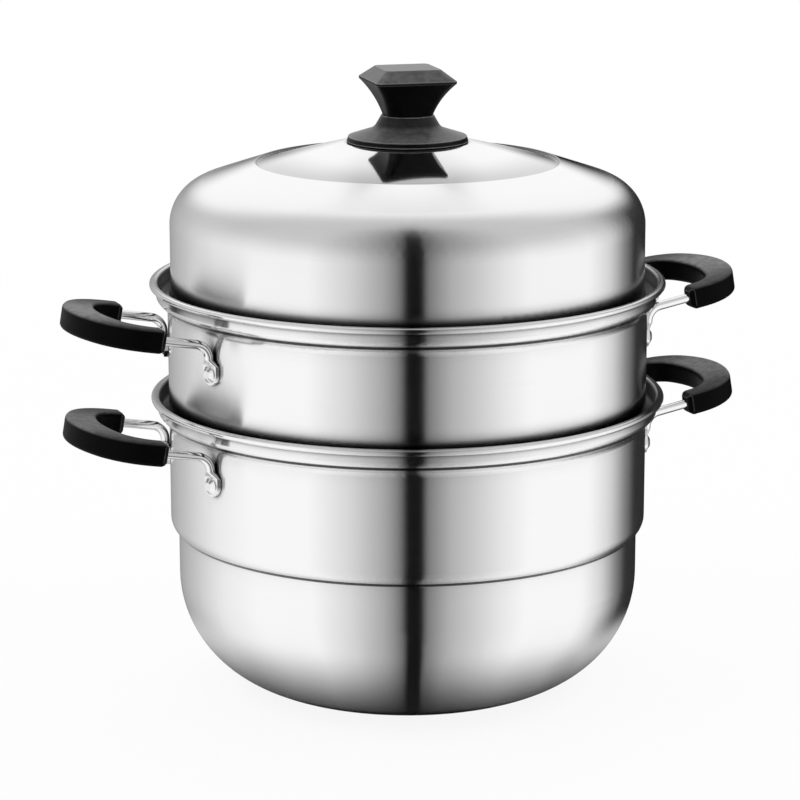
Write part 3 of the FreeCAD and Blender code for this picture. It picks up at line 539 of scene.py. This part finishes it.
def spun_tent():
    """A profile drawn up from the floor and spun round the pot's axis."""
    bpy.ops.object.select_all(action="DESELECT")
    bpy.ops.mesh.primitive_plane_add(size=0.01, location=(0, 0, 0))
    tent = bpy.context.object
    bpy.ops.object.mode_set(mode="EDIT")
    bpy.ops.mesh.select_all(action="SELECT")
    bpy.ops.mesh.merge(type="CENTER")
    (x, z) = CARD_PROFILE[0]
    bpy.ops.transform.translate(value=(x, 0, z))
    for after_x, after_z in CARD_PROFILE[1:]:
        bpy.ops.mesh.extrude_region_move(TRANSFORM_OT_translate={"value": (after_x - x, 0, after_z - z)})
        x, z = after_x, after_z
    bpy.ops.mesh.select_all(action="SELECT")
    bpy.ops.mesh.spin(steps=CARD_STEPS, angle=math.tau, center=(0, 0, 0), axis=(0, 0, 1))
    bpy.ops.mesh.select_all(action="SELECT")
    bpy.ops.mesh.remove_doubles(threshold=0.0001)
    bpy.ops.object.mode_set(mode="OBJECT")
    bpy.ops.object.shade_smooth()
    return tent


tent = spun_tent()
tent.name = "studio_cards"
shading = Shading(bpy.data.materials.new("studio_cards"))
x, y, z = shading.place()
radius = from_axis(x, y)
forward = x * math.sin(VIEW_TURN) - y * math.cos(VIEW_TURN)
sideways = x * math.cos(VIEW_TURN) + y * math.sin(VIEW_TURN)
climb = (z - LID_LEVEL).maths("ARCTAN2", radius) * math.degrees(1)

# The direction in which the wall threw a ray that lands here, found by trial:
# the wall faces half as far round as it throws
around = sideways.maths("ARCTAN2", forward)
spread = WALL_RADIUS / radius.maths("MAXIMUM", WALL_RADIUS)
bounced = around
for bounce in range(BOUNCES):
    bounced = around + ((bounced * 0.5).maths("SINE") * spread).maths("ARCSINE")
stops = [(degrees / 360 + 0.5, dark) for degrees, dark in CARD_STOPS]
stripe = shading.node("ShaderNodeValToRGB", {"stops": stops}, {0: bounced / math.tau + 0.5})

back = 1 - (forward / radius).ramp(*BACK_TURN)
stripe = stripe * (1 - back) + back * BACK_SHADE
fade_begins, fade_ceases = (forward * slope + over for over, slope in (FADE_BEGINS, FADE_CEASES))
stripe = stripe * (1 - climb.ramp(fade_begins, fade_ceases))
on_floor = 1 - z.ramp(*FLOOR_LEVEL)
# Painted shade: a dark ring on the tent's floor under the pot, seen in the steel
under_shade = on_floor * (1 - radius.ramp(*UNDER_SHADE_REACH))
beside = on_floor * (1 - radius.ramp(*BESIDE_REACH)) * (1 - (forward / radius).ramp(*BESIDE_TURN))
stripe = stripe * (1 - beside)
canopy = climb.ramp(*CANOPY_CLIMB) * forward.ramp(*CANOPY_FORWARD) * CANOPY_SHADE
aside = (sideways / forward).maths("ABSOLUTE")
behind = climb.ramp(*BEHIND_RISE) * (1 - climb.ramp(*BEHIND_FALL)) * BEHIND_SHADE
behind = behind * (1 - forward.ramp(*BEHIND_FORWARD)) * (1 - aside.ramp(*BEHIND_ASIDE))
dark = 1 - (1 - stripe) * (1 - under_shade) * (1 - canopy) * (1 - behind)

black = shading.node("ShaderNodeEmission", None, {"Color": grey(0.0), "Strength": 1.0})
clear = shading.node("ShaderNodeBsdfTransparent")
card = shading.node("ShaderNodeMixShader", None, {0: dark, 1: clear, 2: black})
shading.node("ShaderNodeOutputMaterial", None, {"Surface": card})
tent.data.materials.append(shading.owner)
for ray in ("camera", "diffuse", "transmission", "volume_scatter", "shadow"):
    setattr(tent, f"visible_{ray}", False)


# Lamps: one large softbox over and behind the pot and one at each side, at a level
# where a grey card beside the pot would come out as grey as it is.

def softbox(name, turn, climb, distance, size, power):
    """A square lamp at an angle round from the viewer and up from the floor, turned to the pot."""
    angle = VIEW_TURN + math.radians(turn)
    lift = math.radians(climb)
    lamp = bpy.data.lights.new(name, "AREA")
    lamp.size = size
    lamp.energy = power
    holder = bpy.data.objects.new(name, lamp)
    bpy.context.scene.collection.objects.link(holder)
    holder.location = (
        math.sin(angle) * math.cos(lift) * distance,
        -math.cos(angle) * math.cos(lift) * distance,
        math.sin(lift) * distance + LID_LEVEL,
    )
    holder.rotation_euler = (math.pi / 2 - lift, 0, angle)
    holder.visible_camera = False
    holder.visible_glossy = False


softbox("softbox_over", turn=180, climb=55, distance=2.0, size=2.0, power=15.0)
softbox("softbox_left", turn=-75, climb=25, distance=1.8, size=1.6, power=10.0)
softbox("softbox_right", turn=78, climb=25, distance=1.8, size=1.6, power=10.0)


# Camera: level with a standing cook's eye a long step back, looking down at the lid,
# a little to the left of the line through the front of the pot.

LENS = 137.7
SENSOR = 36.0
CAMERA_REACH = 1.7565
CAMERA_HEIGHT = 0.5747
CAMERA_DIP = 13.02
PICTURE_WIDTH = 800
AXIS_OFFSET = -7.5

eye = bpy.data.cameras.new("photo_camera")
eye.lens = LENS
eye.sensor_width = SENSOR
eye.shift_x = AXIS_OFFSET / PICTURE_WIDTH
camera = bpy.data.objects.new("photo_camera", eye)
bpy.context.scene.collection.objects.link(camera)
camera.location = (
    math.sin(VIEW_TURN) * CAMERA_REACH, -math.cos(VIEW_TURN) * CAMERA_REACH, CAMERA_HEIGHT)
camera.rotation_euler = (math.radians(90 - CAMERA_DIP), 0, VIEW_TURN)
bpy.context.scene.camera = camera
bpy.context.scene.view_settings.view_transform = "Standard"
